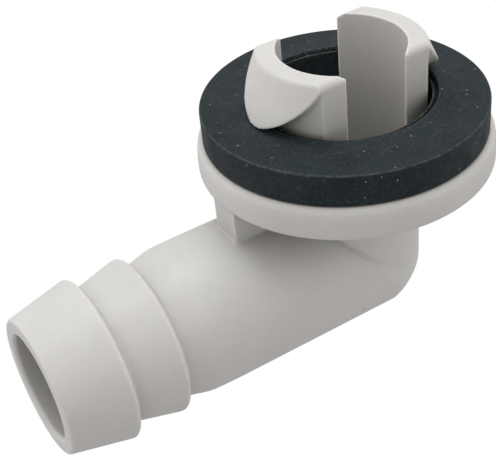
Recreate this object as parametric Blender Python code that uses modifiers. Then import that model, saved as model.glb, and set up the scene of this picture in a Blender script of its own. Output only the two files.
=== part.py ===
"""Condensate drain elbow: a moulded plastic 90 degree elbow with a sealing ring.

Frame (metres, +Z up): the origin is the centre of the sealing ring's top face, +Z is the
spigot's axis, pointing into the drain pan, and +X is the way the hose barb points.
"""
import math

import bmesh
import bpy

MM = 0.001
GAP = 0.3 * MM

# Sealing ring
RING_R = 16.1 * MM
RING_HOLE_R = 9.75 * MM
RING_THICK = 3.65 * MM
RING_FLAT_R = 13.4 * MM
RING_COLLAR_R = 10.5 * MM
RING_COLLAR = 0.35 * MM
RING_CHAMFER = 0.45 * MM
RING_EDGE = 0.3 * MM

# Flange under the ring
FLANGE_R = 16.9 * MM
FLANGE_TOP = -(RING_THICK + GAP)
FLANGE_BOTTOM = -7.6 * MM
FLANGE_STEPS = 48

# Elbow: neck down, tube and hose barb along +X
BORE_NECK_R = 7.1 * MM
BORE_TUBE_R = 6.0 * MM
NECK_R = 8.4 * MM
TUBE_R = 8.85 * MM
TUBE_Z = -20.15 * MM
HEEL_ROUND = 7.5 * MM
CROTCH_ROUND = 0.5 * MM
BORE_HEEL_ROUND = 4.5 * MM
BORE_CROTCH_ROUND = 1.0 * MM
HEEL_SPREAD = 3.0
HEEL_BOW = 4.0 / 3.0
CORNER_RINGS = 7
AROUND = 40

# Hose barb: its two crests, the grooves behind them and the open end
END_X = 41.45 * MM
END_R = 7.9 * MM
CREST_R = (9.25 * MM, 9.45 * MM)
CREST_X = (27.9 * MM, 34.1 * MM)
CREST_BACK = 0.65 * MM
GROOVE_R = 7.95 * MM
RIM_ROUND = 0.3 * MM

# Rib between the flange and the tube
RIB_HALF = 2.0 * MM
RIB_FRONT = 16.7 * MM
RIB_BACK = 7.8 * MM
RIB_FOOT = -12.6 * MM

# Snap claws: two arcs of the spigot wall, each with an outward hook
CLAW_IN_R = 7.13 * MM
CLAW_OUT_R = 9.26 * MM
CLAW_TOP = 6.35 * MM
CLAW_HALF = 6.15 * MM
CLAW_FOOT = FLANGE_TOP + 1.5 * GAP
CLAW_STEPS = 48
HINGE_X = 6.6 * MM
HINGE_Z = CLAW_FOOT
HOOK_TOP = 6.2 * MM
HOOK_SLOPE = 2.33
HOOK_LIP_R = 11.75 * MM
HOOK_LIP_Z = 0.6 * MM
HOOK_RISE = 5.2 * MM
HOOK_POWER = 1.7
HOOK_STEPS = 12
HOOK_ROOT = 0.6 * MM

# How far the cutting shapes reach past what they cut
REACH = 20.0 * MM

PLASTIC = (0.66, 0.65, 0.62, 1.0)
RUBBER = (0.012, 0.014, 0.016, 1.0)


def clear_scene():
    for obj in list(bpy.data.objects):
        bpy.data.objects.remove(obj, do_unlink=True)


def collection(name):
    found = bpy.data.collections.new(name)
    bpy.context.scene.collection.children.link(found)
    return found


def material(name, colour, roughness):
    made = bpy.data.materials.new(name)
    made.use_nodes = True
    shader = made.node_tree.nodes["Principled BSDF"]
    shader.inputs["Base Color"].default_value = colour
    shader.inputs["Roughness"].default_value = roughness
    shader.inputs["Metallic"].default_value = 0.0
    return made


def new_object(name, mesh, place, location=(0.0, 0.0, 0.0)):
    obj = bpy.data.objects.new(name, mesh)
    obj.location = location
    place.objects.link(obj)
    return obj


def turned(name, profile, steps, closed, place):
    """A profile of (radius, z) pairs, running down its outer side, turned about +Z."""
    mesh = bpy.data.meshes.new(name)
    edges = [(i, i + 1) for i in range(len(profile) - 1)]
    if closed:
        edges.append((len(profile) - 1, 0))
    mesh.from_pydata([(r, 0.0, z) for r, z in profile], edges, [])
    obj = new_object(name, mesh, place)
    screw = obj.modifiers.new("Turn", "SCREW")
    screw.axis = "Z"
    screw.angle = 2.0 * math.pi
    screw.steps = steps
    screw.render_steps = steps
    screw.use_merge_vertices = True
    screw.merge_threshold = 0.00001
    return obj


def box(name, low, high, place):
    mesh = bpy.data.meshes.new(name)
    bm = bmesh.new()
    bmesh.ops.create_cube(bm, size=1.0)
    for vert in bm.verts:
        for k in range(3):
            vert.co[k] = (low[k] + high[k]) / 2 + vert.co[k] * (high[k] - low[k])
    bm.to_mesh(mesh)
    bm.free()
    return new_object(name, mesh, place)


def bent_ring(neck_r, tube_r, heel, crotch, beta):
    """The section at angle beta (0 at the neck, 90 degrees at the tube) of the elbow's bend.

    The bend's rounding is smallest at the crotch and grows towards the heel, which is cut off
    almost like a chamfer.
    """
    points = []
    share = beta / (math.pi / 2)
    side = neck_r + (tube_r - neck_r) * share
    for k in range(AROUND):
        turn = 2.0 * math.pi * k / AROUND
        soft = crotch + (heel - crotch) * ((1.0 - math.cos(turn)) / 2) ** HEEL_SPREAD
        x = neck_r * math.cos(turn) + soft * (1.0 - math.cos(beta) ** HEEL_BOW)
        z = TUBE_Z + tube_r * math.cos(turn) + soft * (1.0 - math.sin(beta) ** HEEL_BOW)
        points.append((x, side * math.sin(turn), z))
    return points


def neck_ring(radius, z):
    turns = [2.0 * math.pi * k / AROUND for k in range(AROUND)]
    return [(radius * math.cos(t), radius * math.sin(t), z) for t in turns]


def tube_ring(radius, x):
    turns = [2.0 * math.pi * k / AROUND for k in range(AROUND)]
    return [(x, radius * math.sin(t), TUBE_Z + radius * math.cos(t)) for t in turns]


def lofted(name, rings, place):
    """One closed body through a list of rings that all have the same number of points."""
    bm = bmesh.new()
    rows = [[bm.verts.new(p) for p in ring] for ring in rings]
    for upper, lower in zip(rows, rows[1:]):
        for k in range(AROUND):
            n = (k + 1) % AROUND
            bm.faces.new((upper[k], lower[k], lower[n], upper[n]))
    bm.faces.new(rows[0])
    bm.faces.new(list(reversed(rows[-1])))
    bmesh.ops.recalc_face_normals(bm, faces=bm.faces)
    mesh = bpy.data.meshes.new(name)
    bm.to_mesh(mesh)
    bm.free()
    return new_object(name, mesh, place)


def boolean(obj, other, operation):
    mod = obj.modifiers.new(other.name, "BOOLEAN")
    mod.object = other
    mod.operation = operation
    mod.solver = "EXACT"
    other.hide_render = True
    other.display_type = "WIRE"


def elbow_rings(neck_r, tube_r, heel, crotch):
    betas = [math.pi / 2 * k / CORNER_RINGS for k in range(CORNER_RINGS + 1)]
    return [bent_ring(neck_r, tube_r, heel, crotch, beta) for beta in betas]


def barb_profile():
    """(x, radius) along the tube, from the bend to the open end."""
    points = [
        (20.0 * MM, TUBE_R),
        (23.6 * MM, TUBE_R - 0.09 * MM),
        (25.2 * MM, TUBE_R - 0.39 * MM),
        (26.1 * MM, GROOVE_R + 0.27 * MM),
    ]
    for apex_x, apex_r in zip(CREST_X, CREST_R):
        points += [
            (apex_x - CREST_BACK, GROOVE_R),
            (apex_x - 0.17 * MM, apex_r - 0.28 * MM),
            (apex_x + 0.06 * MM, apex_r - 0.02 * MM),
            (apex_x + 0.4 * MM, apex_r),
        ]
    points += [(END_X - RIM_ROUND, END_R), (END_X, END_R - RIM_ROUND)]
    return points


def flange_profile():
    top, low, rim = FLANGE_TOP, FLANGE_BOTTOM, FLANGE_R
    return [
        (0.0, top),
        (rim - 1.2 * MM, top),
        (rim - 0.55 * MM, top - 0.3 * MM),
        (rim - 0.25 * MM, top - 1.0 * MM),
        (rim - 0.08 * MM, top - 2.0 * MM),
        (rim, top - 2.7 * MM),
        (rim, low + 0.3 * MM),
        (rim - 0.3 * MM, low),
        (0.0, low),
    ]


def make_body(place, cutters):
    bend = elbow_rings(NECK_R, TUBE_R, HEEL_ROUND, CROTCH_ROUND)
    rings = [neck_ring(NECK_R, FLANGE_BOTTOM + 1.0 * MM), *bend]
    rings += [tube_ring(r, x) for x, r in barb_profile()]
    body = lofted("elbow_body", rings, place)
    flange = turned("flange_disc", flange_profile(), FLANGE_STEPS, False, cutters)
    low = (RIB_BACK, -RIB_HALF, RIB_FOOT)
    high = (RIB_FRONT, RIB_HALF, FLANGE_BOTTOM + 0.8 * MM)
    rib = box("rib_block", low, high, cutters)
    wide = BORE_TUBE_R + 0.15 * MM
    bore_rings = [neck_ring(BORE_NECK_R, 2.0 * MM)]
    bore_rings += elbow_rings(BORE_NECK_R, wide, BORE_HEEL_ROUND, BORE_CROTCH_ROUND)
    bore_rings.append(tube_ring(BORE_TUBE_R, END_X + 2.0 * MM))
    bore = lofted("bore_core", bore_rings, cutters)
    boolean(body, flange, "UNION")
    boolean(body, rib, "UNION")
    boolean(body, bore, "DIFFERENCE")
    return body


def hook_window(name, place):
    """A bar along X whose underside is the rounded U of the hooks' lips, seen from the end."""
    bm = bmesh.new()
    wide = CLAW_HALF + 1.0 * MM
    high = CLAW_TOP + 2.0 * MM
    outline = [(-wide, high)]
    for k in range(-HOOK_STEPS, HOOK_STEPS + 1):
        share = abs(k) / HOOK_STEPS
        rise = HOOK_RISE * (1.0 - (1.0 - share**HOOK_POWER) ** (1.0 / HOOK_POWER))
        outline.append((k / HOOK_STEPS * CLAW_HALF, HOOK_LIP_Z + rise))
    outline.append((wide, high))
    face = bm.faces.new([bm.verts.new((-REACH, y, z)) for y, z in outline])
    made = bmesh.ops.extrude_face_region(bm, geom=[face])
    moved = [item for item in made["geom"] if isinstance(item, bmesh.types.BMVert)]
    bmesh.ops.translate(bm, verts=moved, vec=(2.0 * REACH, 0.0, 0.0))
    bmesh.ops.recalc_face_normals(bm, faces=bm.faces)
    mesh = bpy.data.meshes.new(name)
    bm.to_mesh(mesh)
    bm.free()
    return new_object(name, mesh, place)


def make_claw(name, side, place, cutters):
    """One claw; side is +1 for the barb's side and -1 for the heel's side."""
    wall_profile = [
        (CLAW_OUT_R, CLAW_TOP),
        (CLAW_OUT_R, CLAW_FOOT),
        (CLAW_IN_R, CLAW_FOOT),
        (CLAW_IN_R, CLAW_TOP),
    ]
    lip_z = HOOK_TOP - HOOK_SLOPE * (HOOK_LIP_R - CLAW_OUT_R)
    hook_profile = [
        (CLAW_OUT_R - HOOK_ROOT, HOOK_TOP),
        (CLAW_OUT_R + 0.01 * MM, HOOK_TOP),
        (HOOK_LIP_R, lip_z),
        (HOOK_LIP_R, lip_z - HOOK_ROOT),
        (CLAW_OUT_R - HOOK_ROOT, lip_z - HOOK_ROOT),
    ]
    claw = turned(name, wall_profile, CLAW_STEPS, True, place)
    hook = turned(name + "_hook", hook_profile, CLAW_STEPS, True, cutters)
    window = hook_window(name + "_window", cutters)
    ends = sorted((side * 1.0 * MM, side * REACH))
    low = (ends[0], -CLAW_HALF, -REACH)
    high = (ends[1], CLAW_HALF, REACH)
    slab = box(name + "_slab", low, high, cutters)
    boolean(hook, window, "INTERSECT")
    boolean(claw, hook, "UNION")
    boolean(claw, slab, "INTERSECT")
    return claw


def make_ring(place):
    rim, hole, low, edge = RING_R, RING_HOLE_R, -RING_THICK, RING_EDGE
    profile = [
        (rim - edge, 0.0),
        (rim, -edge),
        (rim, low + edge),
        (rim - edge, low),
        (hole, low),
        (hole, RING_COLLAR - RING_CHAMFER),
        (RING_COLLAR_R, RING_COLLAR),
        (RING_FLAT_R, 0.0),
    ]
    return turned("rubber_gasket", profile, FLANGE_STEPS, True, place)


def bake(obj, origin):
    """Turn the modifiers into a mesh whose origin is the given point of the frame."""
    depsgraph = bpy.context.evaluated_depsgraph_get()
    mesh = bpy.data.meshes.new_from_object(obj.evaluated_get(depsgraph))
    obj.modifiers.clear()
    obj.data = mesh
    for vert in mesh.vertices:
        for k in range(3):
            vert.co[k] -= origin[k]
    obj.location = origin
    mesh.update()


def main():
    clear_scene()
    parts = collection("drain_elbow")
    cutters = collection("drain_elbow_cutters")
    plastic = material("moulded_plastic", PLASTIC, 0.42)
    rubber = material("seal_rubber", RUBBER, 0.75)
    body = make_body(parts, cutters)
    front = make_claw("snap_claw_front", 1, parts, cutters)
    rear = make_claw("snap_claw_rear", -1, parts, cutters)
    ring = make_ring(parts)
    for obj, side in ((front, 1), (rear, -1)):
        bake(obj, (side * HINGE_X, 0.0, HINGE_Z))
    bake(body, (0.0, 0.0, 0.0))
    bake(ring, (0.0, 0.0, 0.0))
    for obj, look in ((body, plastic), (front, plastic), (rear, plastic), (ring, rubber)):
        obj.data.materials.clear()
        obj.data.materials.append(look)
        obj.data.shade_smooth()
        obj.data.set_sharp_from_angle(angle=math.radians(30.0))


main()
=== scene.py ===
"""Condensate drain elbow with its sealing ring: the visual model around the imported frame."""
import math

import bmesh
import bpy
import numpy as np
from mathutils import Matrix, Vector


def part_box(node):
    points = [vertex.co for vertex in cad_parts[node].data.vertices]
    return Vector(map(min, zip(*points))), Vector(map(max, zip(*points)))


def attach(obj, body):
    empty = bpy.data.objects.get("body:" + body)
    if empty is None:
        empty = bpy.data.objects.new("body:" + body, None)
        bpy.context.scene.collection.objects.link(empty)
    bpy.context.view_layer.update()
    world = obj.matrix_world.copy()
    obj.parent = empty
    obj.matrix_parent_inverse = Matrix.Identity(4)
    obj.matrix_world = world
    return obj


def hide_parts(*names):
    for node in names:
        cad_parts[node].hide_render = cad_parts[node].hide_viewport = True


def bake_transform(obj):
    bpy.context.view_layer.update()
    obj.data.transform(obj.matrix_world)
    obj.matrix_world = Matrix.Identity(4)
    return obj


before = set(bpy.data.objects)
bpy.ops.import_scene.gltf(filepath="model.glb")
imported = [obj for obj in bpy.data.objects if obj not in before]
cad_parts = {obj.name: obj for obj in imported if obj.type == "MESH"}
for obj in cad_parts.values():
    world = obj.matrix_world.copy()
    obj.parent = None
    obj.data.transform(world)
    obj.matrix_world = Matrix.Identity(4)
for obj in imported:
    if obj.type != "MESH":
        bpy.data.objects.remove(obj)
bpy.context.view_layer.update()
MM = 0.001

# ---------------------------------------------------------------- sizes
BODY_LOW, BODY_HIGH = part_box("elbow_body")
RING_LOW, RING_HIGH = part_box("rubber_gasket")
CLAW_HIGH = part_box("snap_claw_front")[1]
TOUCH = 0.12 * MM
AROUND = 144

# Flange: its edges are lists of mm in from its widest line, and down from its top or up from
# its bottom
FLANGE_R = BODY_HIGH.y
FLANGE_TOP = BODY_HIGH.z + TOUCH
FLANGE_BOTTOM = -7.6 * MM
FLANGE_CROWN = [(1.1, 0.0), (0.7, 0.08), (0.4, 0.26), (0.18, 0.65), (0.06, 1.3), (0.01, 2.2)]
FLANGE_UNDER = [(0.0, 0.7), (0.05, 0.3), (0.3, 0.0)]

# Neck, bend and tube; the bend is softest at the heel and almost sharp at the crotch
NECK_R = 8.4 * MM
TUBE_R = 8.85 * MM
HEEL_ROUND = 7.8 * MM
CROTCH_ROUND = 0.15 * MM
HEEL_SPREAD = 3.6
HEEL_BOW = 4.0 / 3.0
BEND_STEPS = 24
BORE_TUBE_R = 6.0 * MM
BORE_WIDE_R = BORE_TUBE_R + 0.15 * MM
BORE_HEEL_ROUND = 4.5 * MM
BORE_CROTCH_ROUND = 1.0 * MM
BORE_RIM = (0.35 * MM, 0.3 * MM)

# Hose barb: the tube's taper as (x, radius) in mm, two crests with steep backs, the open end
TAPER = [(20.0, 8.85), (22.5, 8.81), (23.6, 8.76), (24.4, 8.65), (25.2, 8.46), (26.1, 8.22)]
CREST_R = (9.25 * MM, 9.45 * MM)
CREST_X = (27.9 * MM, 34.1 * MM)
CREST_BACK = 0.65 * MM
CREST_SOFT = 0.5 * MM
CREST_PEAK = 0.08 * MM
TUBE_Z = BODY_LOW.z + CREST_R[1]
GROOVE_R = 7.95 * MM
GROOVE_SOFT = 0.2 * MM
END_X = BODY_HIGH.x
END_R = 7.9 * MM
END_SOFT = 0.45 * MM
END_FACE = 0.7 * MM

# Rib between the flange and the tube
RIB_LOW = (7.8 * MM, -2.0 * MM, -12.6 * MM)
RIB_HIGH = (16.6 * MM, 2.0 * MM, -6.8 * MM)

# Sealing ring: a flat top that rises to a rim, with a groove between the rim and the hole.
# RING_BEAD and RING_GROOVE are how far out from the hole and down from the rim each reaches;
# RING_SOFT holds the outline's corner radii, in mm
RING_R = RING_HIGH.x
RING_TOP = 0.0
RING_RIM = RING_HIGH.z + 0.17 * MM
RING_RIM_R = 10.5 * MM
RING_BOTTOM = RING_LOW.z - TOUCH
RING_HOLE_R = 9.75 * MM
RING_FLAT_R = 14.2 * MM
RING_BEAD = (0.22 * MM, 0.30 * MM)
RING_GROOVE = (0.35 * MM, 0.55 * MM)
RING_LIP = 0.12 * MM
RING_SOFT = [0.28, 0.28, 0.15, 0.08, 0.08, 0.1, 0.1, 0.06, 1.2]
RING_STEP = 0.22 * MM
RING_AROUND = 360

# Claws: arcs of the spigot's wall; the hook's ramp falls outwards, its underside is a rounded U
CLAW_TOP = CLAW_HIGH.z
CLAW_HALF = CLAW_HIGH.y
CLAW_IN_R = 7.13 * MM
CLAW_OUT_R = 9.26 * MM
CLAW_SOFT = 0.35 * MM
CLAW_CORNER = 0.8 * MM
CLAW_STEPS = 96
HOOK_SLOPE = 2.33
HOOK_TOP = CLAW_TOP - 0.04 * MM
HOOK_LIP_Z = 0.54 * MM
HOOK_RISE = 5.24 * MM
HOOK_POWER = 1.69
HOOK_EDGE = 0.05 * MM
RAMP_STEPS = 24

# One moulding: its solids overlap, are remeshed together and parted again at the claws' roots
OVERLAP = 1.0 * MM
VOXEL = 0.14 * MM
SMOOTH_PASSES = 2
PROUD_PASSES = 5
ROOT_CUT = FLANGE_TOP + 0.3 * MM
ROOT_MARGIN = 1.0 * MM

# Stage, in metres
STAGE_R = 2.0
STAGE_HEIGHT = 3.0
FLOOR_GAP = 0.2 * MM

# Level directions of the sky's light, as the main view sees them
TO_THE_RIGHT = (-0.876, 0.482, 0.0)
TO_THE_VIEWER = (0.482, 0.876, 0.0)

# ---------------------------------------------------------------- colours
PLASTIC_DULL = (0.644, 0.625, 0.608, 1)
PLASTIC_CLEAN = (0.684, 0.665, 0.652, 1)
PLASTIC_MOTTLE = (0.572, 0.550, 0.526, 1)
# Painted highlight for the moulding's proud edges
PLASTIC_EDGE_HIGHLIGHT = (0.92, 0.905, 0.875, 1)
# Painted shade for hollows, the underside of the flange and concave creases
PAINTED_SHADE = (0.205, 0.203, 0.165, 1)
# Deeper painted shade for narrow corners
PAINTED_CORNER_SHADE = (0.130, 0.126, 0.100, 1)
DIRT_SPECK = (0.10, 0.09, 0.08, 1)
RUBBER_DARK = (0.0050, 0.0105, 0.0140, 1)
RUBBER_LIGHT = (0.0125, 0.0220, 0.0270, 1)
RUBBER_BLOOM = (0.050, 0.062, 0.064, 1)
# Painted shade for the ring's groove
RUBBER_GROOVE_SHADE = (0.003, 0.004, 0.005, 1)
# Painted highlight with some dust, for the ring's rims
RUBBER_EDGE_SHEEN_AND_DUST = (0.12, 0.132, 0.136, 1)
DUST = (0.36, 0.38, 0.38, 1)


# ---------------------------------------------------------------- mesh helpers
def add_mesh(name, bm):
    bmesh.ops.recalc_face_normals(bm, faces=bm.faces)
    mesh = bpy.data.meshes.new(name)
    bm.to_mesh(mesh)
    bm.free()
    obj = bpy.data.objects.new(name, mesh)
    bpy.context.scene.collection.objects.link(obj)
    return obj


def lofted(name, rings, looped=False):
    """A closed body through equal rings: capped at both ends, or looped back to the first."""
    bm = bmesh.new()
    rows = [[bm.verts.new(p) for p in ring] for ring in rings]
    count = len(rows[0])
    pairs = list(zip(rows, rows[1:]))
    if looped:
        pairs.append((rows[-1], rows[0]))
    else:
        bm.faces.new(rows[0])
        bm.faces.new(list(reversed(rows[-1])))
    for a, b in pairs:
        for k in range(count):
            n = (k + 1) % count
            bm.faces.new((a[k], b[k], b[n], a[n]))
    return add_mesh(name, bm)


def turned(name, profile, steps=AROUND):
    """A closed (radius, z) outline turned about +Z; the outline may end on the axis."""
    bm = bmesh.new()
    rows = []
    for k in range(steps):
        t = 2 * math.pi * k / steps
        rows.append([bm.verts.new((r * math.cos(t), r * math.sin(t), z)) for r, z in profile])
    count = len(profile)
    for k in range(steps):
        a, b = rows[k], rows[(k + 1) % steps]
        for i in range(count):
            j = (i + 1) % count
            bm.faces.new((a[i], b[i], b[j], a[j]))
    bmesh.ops.remove_doubles(bm, verts=bm.verts, dist=1e-7)
    return add_mesh(name, bm)


def block(name, low, high):
    bm = bmesh.new()
    bmesh.ops.create_cube(bm, size=1.0)
    for v in bm.verts:
        v.co = [(low[k] + high[k]) / 2 + v.co[k] * (high[k] - low[k]) for k in range(3)]
    return add_mesh(name, bm)


def rounded(points, radius, steps=5):
    """A closed outline with each corner turned into an arc; radius is one number or one each."""
    out = []
    count = len(points)
    for i, p in enumerate(points):
        r = radius[i] if isinstance(radius, (list, tuple)) else radius
        p = Vector(p)
        a, b = Vector(points[i - 1]) - p, Vector(points[(i + 1) % count]) - p
        if r <= 0:
            out.append(tuple(p))
            continue
        angle = a.angle(b)
        cut = min(r / math.tan(angle / 2), 0.45 * a.length, 0.45 * b.length)
        start, end = p + a.normalized() * cut, p + b.normalized() * cut
        for s in range(steps + 1):
            t = s / steps
            out.append(tuple(start.lerp(p, t).lerp(p.lerp(end, t), t)))
    return out


def settle(obj):
    depsgraph = bpy.context.evaluated_depsgraph_get()
    mesh = bpy.data.meshes.new_from_object(obj.evaluated_get(depsgraph))
    obj.modifiers.clear()
    obj.data = mesh


def moulded(obj, voxel, passes):
    """Remeshes the solid evenly and softens its edges, as a moulding's are."""
    mod = obj.modifiers.new("r", "REMESH")
    mod.mode, mod.voxel_size, mod.adaptivity = "VOXEL", voxel, 0.0
    soft = obj.modifiers.new("s", "SMOOTH")
    soft.factor, soft.iterations = 0.5, passes
    settle(obj)
    obj.data.shade_smooth()


def mark_edges(obj, passes):
    """Stores how far, in mm, each point stands proud of its softened surroundings."""
    mesh = obj.data
    count = len(mesh.vertices)
    at = np.empty(count * 3)
    mesh.vertices.foreach_get("co", at)
    at = at.reshape(-1, 3)
    ends = np.empty(len(mesh.edges) * 2, dtype=np.int32)
    mesh.edges.foreach_get("vertices", ends)
    ends = ends.reshape(-1, 2)
    near, far = np.concatenate([ends, ends[:, ::-1]]).T
    share = 1.0 / np.bincount(near, minlength=count)
    soft = at.copy()
    for _ in range(passes):
        for k in range(3):
            around = np.bincount(near, weights=soft[far, k], minlength=count) * share
            soft[:, k] = 0.5 * (soft[:, k] + around)
    normals = np.empty(count * 3, dtype=np.float32)
    mesh.vertex_normals.foreach_get("vector", normals)
    proud = ((at - soft) * normals.reshape(-1, 3)).sum(axis=1) / MM
    mesh.attributes.new("proud", "FLOAT", "POINT").data.foreach_set("value", proud)


# ---------------------------------------------------------------- the elbow
def bent_ring(neck_r, tube_r, heel, crotch, beta):
    side = neck_r + (tube_r - neck_r) * beta / (math.pi / 2)
    out = []
    for k in range(AROUND):
        t = 2 * math.pi * k / AROUND
        soft = crotch + (heel - crotch) * ((1 - math.cos(t)) / 2) ** HEEL_SPREAD
        x = neck_r * math.cos(t) + soft * (1 - math.cos(beta) ** HEEL_BOW)
        z = TUBE_Z + tube_r * math.cos(t) + soft * (1 - math.sin(beta) ** HEEL_BOW)
        out.append((x, side * math.sin(t), z))
    return out


def neck_ring(r, z):
    turns = [2 * math.pi * k / AROUND for k in range(AROUND)]
    return [(r * math.cos(t), r * math.sin(t), z) for t in turns]


def tube_ring(r, x):
    turns = [2 * math.pi * k / AROUND for k in range(AROUND)]
    return [(x, r * math.sin(t), TUBE_Z + r * math.cos(t)) for t in turns]


def barb_outline():
    """(x, radius) along the tube's outside: the taper, two crests and the open end."""
    points = [(x * MM, r * MM) for x, r in TAPER]
    radii = [0] * len(TAPER)
    for apex_x, apex_r in zip(CREST_X, CREST_R):
        points += [(apex_x - CREST_BACK, GROOVE_R), (apex_x, apex_r + CREST_PEAK)]
        radii += [GROOVE_SOFT, CREST_SOFT]
    points += [(END_X, END_R), (END_X, END_R - END_FACE)]
    radii += [END_SOFT, 0]
    return rounded(points, radii)


def flange_outline():
    """The flange's section: a crowned upper edge that swells down to the widest line."""
    line = [(CLAW_IN_R, FLANGE_TOP)]
    line += [(FLANGE_R - inset * MM, FLANGE_TOP - drop * MM) for inset, drop in FLANGE_CROWN]
    line += [(FLANGE_R - inset * MM, FLANGE_BOTTOM + rise * MM) for inset, rise in FLANGE_UNDER]
    line.append((CLAW_IN_R, FLANGE_BOTTOM))
    return line


def elbow_rings(neck_r, tube_r, heel, crotch):
    betas = [math.pi / 2 * k / BEND_STEPS for k in range(BEND_STEPS + 1)]
    return [bent_ring(neck_r, tube_r, heel, crotch, beta) for beta in betas]


def elbow_solids():
    """The tube's wall, the flange and the rib, as closed solids that run into each other."""
    top = FLANGE_BOTTOM + OVERLAP
    outside = [neck_ring(NECK_R, top)]
    outside += elbow_rings(NECK_R, TUBE_R, HEEL_ROUND, CROTCH_ROUND)
    outside += [tube_ring(r, x) for x, r in barb_outline()]
    rim_depth, rim_width = BORE_RIM
    inside = [neck_ring(CLAW_IN_R, top)]
    inside += elbow_rings(CLAW_IN_R, BORE_WIDE_R, BORE_HEEL_ROUND, BORE_CROTCH_ROUND)
    inside.append(tube_ring(BORE_TUBE_R, END_X - rim_depth))
    inside.append(tube_ring(BORE_TUBE_R + rim_width, END_X))
    wall = lofted("wall", outside + inside[::-1], looped=True)
    flange = turned("flange", flange_outline())
    return [wall, flange, block("rib", RIB_LOW, RIB_HIGH)]


# ---------------------------------------------------------------- the claws
def round_off(distance, radius):
    """How far a quarter-round of the radius has fallen at a distance past its start."""
    inside = min(max(distance, 0.0), radius)
    return radius - math.sqrt(radius * radius - inside * inside)


def claw_section(y, side):
    """The claw's outline in the XZ plane at one y: inner wall, top, ramp, lip and outer wall."""
    root = FLANGE_TOP - OVERLAP
    top = CLAW_TOP - round_off(abs(y) - (CLAW_HALF - CLAW_CORNER), CLAW_CORNER)
    share = min(abs(y) / CLAW_HALF, 1.0)
    under = HOOK_LIP_Z + HOOK_RISE * (1 - (1 - share**HOOK_POWER) ** (1 / HOOK_POWER))
    under = min(under, top - HOOK_EDGE)
    line = [(CLAW_IN_R, root), (CLAW_IN_R, top)]
    for k in range(RAMP_STEPS + 1):
        z = top + (under - top) * (k / RAMP_STEPS) ** 1.5
        r = CLAW_OUT_R + (HOOK_TOP - z) / HOOK_SLOPE
        line.append((r - round_off(z - (CLAW_TOP - CLAW_SOFT), CLAW_SOFT), z))
    line += [(CLAW_OUT_R, under), (CLAW_OUT_R, root)]
    return [(side * math.sqrt(r * r - y * y), y, z) for r, z in line]


def claw_solid(side):
    turns = [math.pi * (k / CLAW_STEPS - 0.5) for k in range(CLAW_STEPS + 1)]
    places = [CLAW_HALF * math.sin(turn) for turn in turns]
    return lofted("claw", [claw_section(y, side) for y in places])


# ---------------------------------------------------------------- the one moulding
def cut_off(whole, name, cut, above, side=0):
    """All of the moulding below the cut, or one side of it above the cut; closed at the cut."""
    bm = bmesh.new()
    bm.from_mesh(whole.data)
    if above:
        wrong = [v for v in bm.verts if v.co.z < cut - ROOT_MARGIN or v.co.x * side < 0]
        bmesh.ops.delete(bm, geom=wrong, context="VERTS")
    bmesh.ops.bisect_plane(
        bm,
        geom=[*bm.verts, *bm.edges, *bm.faces],
        plane_co=(0, 0, cut),
        plane_no=(0, 0, 1),
        clear_inner=above,
        clear_outer=not above,
    )
    rim = [edge for edge in bm.edges if edge.is_boundary]
    for edge in rim:
        edge.smooth = False
    bmesh.ops.triangle_fill(bm, use_beauty=True, use_dissolve=False, edges=rim)
    return add_mesh(name, bm)


def make_moulding():
    """The elbow and its claws, moulded in one and parted just above the flange."""
    bm = bmesh.new()
    for solid in [*elbow_solids(), claw_solid(1), claw_solid(-1)]:
        bm.from_mesh(solid.data)
        bpy.data.objects.remove(solid, do_unlink=True)
    whole = add_mesh("whole", bm)
    moulded(whole, VOXEL, SMOOTH_PASSES)
    mark_edges(whole, PROUD_PASSES)
    elbow = cut_off(whole, "elbow", ROOT_CUT, above=False)
    front = cut_off(whole, "claw_front", ROOT_CUT, above=True, side=1)
    rear = cut_off(whole, "claw_rear", ROOT_CUT, above=True, side=-1)
    bpy.data.objects.remove(whole, do_unlink=True)
    return elbow, front, rear


# ---------------------------------------------------------------- the sealing ring
def spread(points, step):
    """The closed outline with points added, so that no stretch is longer than the step."""
    out = []
    for a, b in zip(points, [*points[1:], points[0]]):
        a, b = Vector(a), Vector(b)
        pieces = max(1, math.ceil((b - a).length / step))
        out += [tuple(a.lerp(b, k / pieces)) for k in range(pieces)]
    return out


def make_ring():
    """The ring's top rises to a rim round the hole, with a fine groove and bead inside it."""
    bead_width, bead_drop = RING_BEAD
    groove_in, groove_drop = RING_GROOVE
    outline = [
        (RING_R, RING_TOP),
        (RING_R, RING_BOTTOM),
        (RING_HOLE_R, RING_BOTTOM),
        (RING_HOLE_R, RING_RIM - bead_drop),
        (RING_HOLE_R + bead_width, RING_RIM - bead_drop),
        (RING_HOLE_R + groove_in, RING_RIM - groove_drop),
        (RING_RIM_R - RING_LIP, RING_RIM - groove_drop),
        (RING_RIM_R, RING_RIM),
        (RING_FLAT_R, RING_TOP),
    ]
    outline = spread(rounded(outline, [r * MM for r in RING_SOFT]), RING_STEP)
    ring = turned("sealing_ring", outline, RING_AROUND)
    ring.data.shade_smooth()
    return ring


# ---------------------------------------------------------------- materials
def new_material(name):
    mat = bpy.data.materials.new(name)
    mat.use_nodes = True
    tree = mat.node_tree
    return mat, tree, tree.nodes["Principled BSDF"]


def node(tree, kind, inputs=None, **settings):
    made = tree.nodes.new(kind)
    for key, value in settings.items():
        setattr(made, key, value)
    for key, value in (inputs or {}).items():
        if isinstance(value, bpy.types.NodeSocket):
            tree.links.new(value, made.inputs[key])
        else:
            made.inputs[key].default_value = value
    return made


def noise(tree, where, scale, detail=4.0, rough=0.55):
    inputs = {"Vector": where, "Scale": scale, "Detail": detail, "Roughness": rough}
    return node(tree, "ShaderNodeTexNoise", inputs).outputs["Fac"]


def remap(tree, value, low, high, to_low, to_high):
    inputs = {0: value, 1: low, 2: high, 3: to_low, 4: to_high}
    return node(tree, "ShaderNodeMapRange", inputs, clamp=True).outputs[0]


def maths(tree, operation, a, b):
    return node(tree, "ShaderNodeMath", {0: a, 1: b}, operation=operation).outputs[0]


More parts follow.
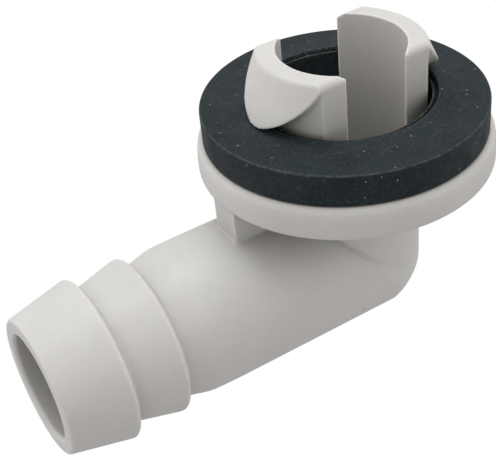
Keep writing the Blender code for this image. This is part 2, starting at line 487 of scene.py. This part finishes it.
def blend_colour(tree, share, a, b):
    made = node(tree, "ShaderNodeMix", data_type="RGBA", blend_type="MIX")
    for socket, value in ((made.inputs[0], share), (made.inputs[6], a), (made.inputs[7], b)):
        if isinstance(value, bpy.types.NodeSocket):
            tree.links.new(value, socket)
        else:
            socket.default_value = value
    return made.outputs[2]


def specks(tree, where, scale, size, share, seed):
    """1 inside a few small scattered spots: size in cells, share of the cells that have one."""
    moved = node(tree, "ShaderNodeMapping", {"Vector": where, "Location": (seed, seed, seed)})
    cells = node(tree, "ShaderNodeTexVoronoi", {"Vector": moved.outputs[0], "Scale": scale})
    chance = node(tree, "ShaderNodeSeparateColor", {0: cells.outputs["Color"]}).outputs[0]
    chosen = maths(tree, "LESS_THAN", chance, share)
    near = remap(tree, cells.outputs["Distance"], size * 0.6, size, 1.0, 0.0)
    return maths(tree, "MULTIPLY", near, chosen)


def occlusion_shade(tree, distance, open_at):
    """0 on open surfaces, rising to 1 deep in corners and bores, where painted shade goes."""
    inputs = {"Distance": distance}
    seen = node(tree, "ShaderNodeAmbientOcclusion", inputs, samples=12).outputs["AO"]
    return remap(tree, seen, 0.15, open_at, 1.0, 0.0)


def bump(tree, shader, height, strength, distance):
    inputs = {"Strength": strength, "Distance": distance, "Height": height}
    made = node(tree, "ShaderNodeBump", inputs)
    tree.links.new(made.outputs[0], shader.inputs["Normal"])


def plastic_material():
    """Pale moulding: cloudy, with painted shade in hollows and along concave creases, and a
    painted highlight along its proud edges.
    """
    mat, tree, shader = new_material("moulded_plastic")
    where = node(tree, "ShaderNodeTexCoord").outputs["Object"]
    proud = node(tree, "ShaderNodeAttribute", attribute_name="proud").outputs["Fac"]
    cloud = noise(tree, where, 95.0, 3.0)
    mottle = noise(tree, where, 900.0, 5.0)
    base = blend_colour(
        tree, remap(tree, cloud, 0.35, 0.65, 0.0, 1.0), PLASTIC_DULL, PLASTIC_CLEAN
    )
    base = blend_colour(tree, remap(tree, mottle, 0.3, 0.75, 0.0, 0.22), base, PLASTIC_MOTTLE)
    # Painted shade, patchy with the cloud: darker where the surface is hemmed in by the moulding
    # and along concave creases
    patches = remap(tree, cloud, 0.3, 0.7, 0.46, 0.68)
    hollow_shade = maths(tree, "MULTIPLY", occlusion_shade(tree, 14.0 * MM, 0.85), patches)
    crease_shade = remap(tree, proud, -0.050, -0.008, 0.65, 0.0)
    base = blend_colour(tree, maths(tree, "MAXIMUM", hollow_shade, crease_shade), base, PAINTED_SHADE)
    # Deeper painted shade in narrow corners, within 3 mm of other surfaces
    corner_shade = maths(tree, "MULTIPLY", occlusion_shade(tree, 3.0 * MM, 0.6), 0.7)
    base = blend_colour(tree, corner_shade, base, PAINTED_CORNER_SHADE)
    # Painted highlight along proud, convex edges
    edge_highlight = remap(tree, proud, 0.010, 0.060, 0.0, 0.85)
    base = blend_colour(tree, edge_highlight, base, PLASTIC_EDGE_HIGHLIGHT)
    dirt = maths(tree, "MULTIPLY", specks(tree, where, 260.0, 0.055, 0.05, 3.7), 0.85)
    base = blend_colour(tree, dirt, base, DIRT_SPECK)
    tree.links.new(base, shader.inputs["Base Color"])
    patchy = noise(tree, where, 240.0, 4.0)
    rough = remap(tree, patchy, 0.3, 0.7, 0.38, 0.52)
    tree.links.new(rough, shader.inputs["Roughness"])
    grain = noise(tree, where, 7000.0, 2.0)
    wave = noise(tree, where, 160.0, 2.0)
    height = maths(tree, "ADD", maths(tree, "MULTIPLY", grain, 0.05), wave)
    bump(tree, shader, height, 0.25, 0.06 * MM)
    shader.inputs["Subsurface Weight"].default_value = 0.12
    shader.inputs["Subsurface Radius"].default_value = (1.0, 0.85, 0.7)
    shader.inputs["Subsurface Scale"].default_value = 1.2 * MM
    shader.inputs["Specular IOR Level"].default_value = 0.4
    return mat


def line_at(tree, value, centre, half):
    """1 where the value is at the centre, falling to 0 at the half width either side."""
    off = maths(tree, "ABSOLUTE", maths(tree, "SUBTRACT", value, centre), 0.0)
    return remap(tree, off, 0.0, half, 1.0, 0.0)


def rubber_material():
    """Black rubber: blotched, dusty, with painted shade in the groove and a pale painted
    highlight with dust along its rims.
    """
    mat, tree, shader = new_material("seal_rubber")
    where = node(tree, "ShaderNodeTexCoord").outputs["Object"]
    axes = node(tree, "ShaderNodeSeparateXYZ", {0: where}).outputs
    flat = node(tree, "ShaderNodeCombineXYZ", {0: axes[0], 1: axes[1], 2: 0.0}).outputs[0]
    radius = node(tree, "ShaderNodeVectorMath", {0: flat}, operation="LENGTH").outputs["Value"]
    cloud = noise(tree, where, 150.0, 5.0)
    fine = noise(tree, where, 2600.0, 4.0)
    base = blend_colour(tree, remap(tree, cloud, 0.3, 0.7, 0.0, 1.0), RUBBER_DARK, RUBBER_LIGHT)
    base = blend_colour(tree, remap(tree, fine, 0.50, 0.75, 0.0, 0.50), base, RUBBER_BLOOM)
    on_top = remap(tree, axes[2], -0.30 * MM, -0.12 * MM, 0.0, 1.0)
    inside = remap(tree, radius, RING_RIM_R - RING_LIP, RING_RIM_R, 1.0, 0.0)
    # Painted shade: the groove inside the rim, on top only, is made near-black
    groove = maths(tree, "MULTIPLY", maths(tree, "MULTIPLY", inside, on_top), 0.85)
    base = blend_colour(tree, groove, base, RUBBER_GROOVE_SHADE)
    # Pale bands along the rim, the hole's bead and the outer brim: painted highlight, broken up
    # with dust
    rim = line_at(tree, radius, RING_RIM_R, 0.16 * MM)
    hole = line_at(tree, radius, RING_HOLE_R + 0.12 * MM, 0.2 * MM)
    brim = line_at(tree, radius, RING_R - 0.08 * MM, 0.14 * MM)
    broken = remap(tree, noise(tree, where, 2400.0, 4.0), 0.36, 0.66, 0.15, 1.0)
    edge_sheen_and_dust = maths(tree, "MAXIMUM", maths(tree, "MAXIMUM", rim, hole), brim)
    edge_sheen_and_dust = maths(tree, "MULTIPLY", maths(tree, "MULTIPLY", edge_sheen_and_dust, on_top), broken)
    base = blend_colour(tree, maths(tree, "MULTIPLY", edge_sheen_and_dust, 0.6), base, RUBBER_EDGE_SHEEN_AND_DUST)
    fine_dust = specks(tree, where, 1300.0, 0.16, 0.22, 1.3)
    coarse_dust = specks(tree, where, 420.0, 0.075, 0.18, 8.1)
    dust = maths(tree, "MULTIPLY", maths(tree, "MAXIMUM", fine_dust, coarse_dust), 0.5)
    base = blend_colour(tree, dust, base, DUST)
    tree.links.new(base, shader.inputs["Base Color"])
    rough = remap(tree, noise(tree, where, 400.0, 4.0), 0.3, 0.7, 0.56, 0.74)
    tree.links.new(rough, shader.inputs["Roughness"])
    grain = noise(tree, where, 3500.0, 3.0)
    height = maths(tree, "ADD", maths(tree, "MULTIPLY", grain, 0.35), cloud)
    bump(tree, shader, height, 0.35, 0.08 * MM)
    shader.inputs["Specular IOR Level"].default_value = 0.26
    return mat


# ---------------------------------------------------------------- stage, lights, camera
def make_stage():
    """A plain white floor and wall that only the camera sees; the sky does the lighting."""
    bm = bmesh.new()
    bmesh.ops.create_cone(
        bm, cap_ends=True, segments=96, radius1=STAGE_R, radius2=STAGE_R, depth=STAGE_HEIGHT
    )
    floor = add_mesh("floor_and_wall", bm)
    floor.location.z = BODY_LOW.z - FLOOR_GAP + STAGE_HEIGHT / 2
    mat, tree, shader = new_material("pale_floor")
    tree.nodes.remove(shader)
    glow = node(tree, "ShaderNodeEmission", {"Color": (1, 1, 1, 1), "Strength": 1.0})
    tree.links.new(glow.outputs[0], tree.nodes["Material Output"].inputs["Surface"])
    floor.data.materials.append(mat)
    floor.visible_diffuse = False
    floor.visible_glossy = False
    floor.visible_transmission = False
    floor.visible_shadow = False


def along(tree, way, direction):
    inputs = {0: way, 1: direction}
    made = node(tree, "ShaderNodeVectorMath", inputs, operation="DOT_PRODUCT")
    return made.outputs["Value"]


def make_sky():
    """A soft light tent: brighter above and to both sides, a little darker near the viewer."""
    world = bpy.data.worlds.new("tent")
    world.use_nodes = True
    tree = world.node_tree
    way = node(tree, "ShaderNodeTexCoord").outputs["Generated"]
    height = node(tree, "ShaderNodeSeparateXYZ", {0: way}).outputs[2]
    sky = remap(tree, height, -0.6, 0.9, 0.42, 0.70)
    side = along(tree, way, TO_THE_RIGHT)
    near = along(tree, way, TO_THE_VIEWER)
    sides = maths(tree, "MULTIPLY", maths(tree, "MULTIPLY", side, side), 0.40)
    tilt = maths(tree, "MULTIPLY", side, -0.05)
    shade = maths(tree, "MULTIPLY", near, -0.06)
    sky = maths(tree, "ADD", maths(tree, "ADD", sky, sides), maths(tree, "ADD", shade, tilt))
    tree.links.new(sky, tree.nodes["Background"].inputs["Strength"])
    tree.nodes["Background"].inputs["Color"].default_value = (1.0, 0.995, 0.985, 1)
    bpy.context.scene.world = world


def area_light(name, place, aim, size, power, colour):
    data = bpy.data.lights.new(name, "AREA")
    data.shape, data.size, data.energy, data.color = "SQUARE", size, power, colour
    lamp = bpy.data.objects.new(name, data)
    lamp.location = place
    lamp.rotation_mode = "QUATERNION"
    lamp.rotation_quaternion = (Vector(aim) - Vector(place)).to_track_quat("-Z", "Y")
    bpy.context.scene.collection.objects.link(lamp)


def make_camera():
    """The view from above the barb's side: azimuth, elevation, roll and distance."""
    azimuth, elevation, roll = math.radians(151.16), math.radians(36.56), math.radians(6.25)
    centre = Vector((14.49, 1.27, -10.92)) * MM
    distance = 120.37 * MM
    right = Vector((math.cos(azimuth), math.sin(azimuth), 0))
    back = Vector((
        math.sin(azimuth) * math.cos(elevation),
        -math.cos(azimuth) * math.cos(elevation),
        math.sin(elevation),
    ))
    up = back.cross(right)
    right, up = (
        right * math.cos(roll) - up * math.sin(roll),
        right * math.sin(roll) + up * math.cos(roll),
    )
    data = bpy.data.cameras.new("camera")
    data.sensor_width = 36.0
    data.lens = 78.88
    data.clip_start, data.clip_end = 0.005, 20.0
    camera = bpy.data.objects.new("camera", data)
    axes = Matrix((right, up, back)).transposed().to_4x4()
    camera.matrix_world = Matrix.Translation(centre + back * distance) @ axes
    bpy.context.scene.collection.objects.link(camera)
    bpy.context.scene.camera = camera


def main():
    plastic, rubber = plastic_material(), rubber_material()
    elbow, front, rear = make_moulding()
    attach(elbow, "elbow")
    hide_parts("elbow_body")
    for claw, name in ((front, "claw_front"), (rear, "claw_rear")):
        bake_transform(claw)
        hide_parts("snap_" + name)
    for piece in (elbow, front, rear):
        piece.data.materials.append(plastic)
    ring = make_ring()
    ring.data.materials.append(rubber)
    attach(ring, "gasket")
    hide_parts("rubber_gasket")
    make_stage()
    make_sky()
    area_light("overhead", (-0.03, -0.08, 0.45), (0.01, 0, -0.01), 0.35, 1.0, (0.97, 1.0, 0.985))
    make_camera()
    bpy.context.scene.view_settings.view_transform = "Standard"


main()
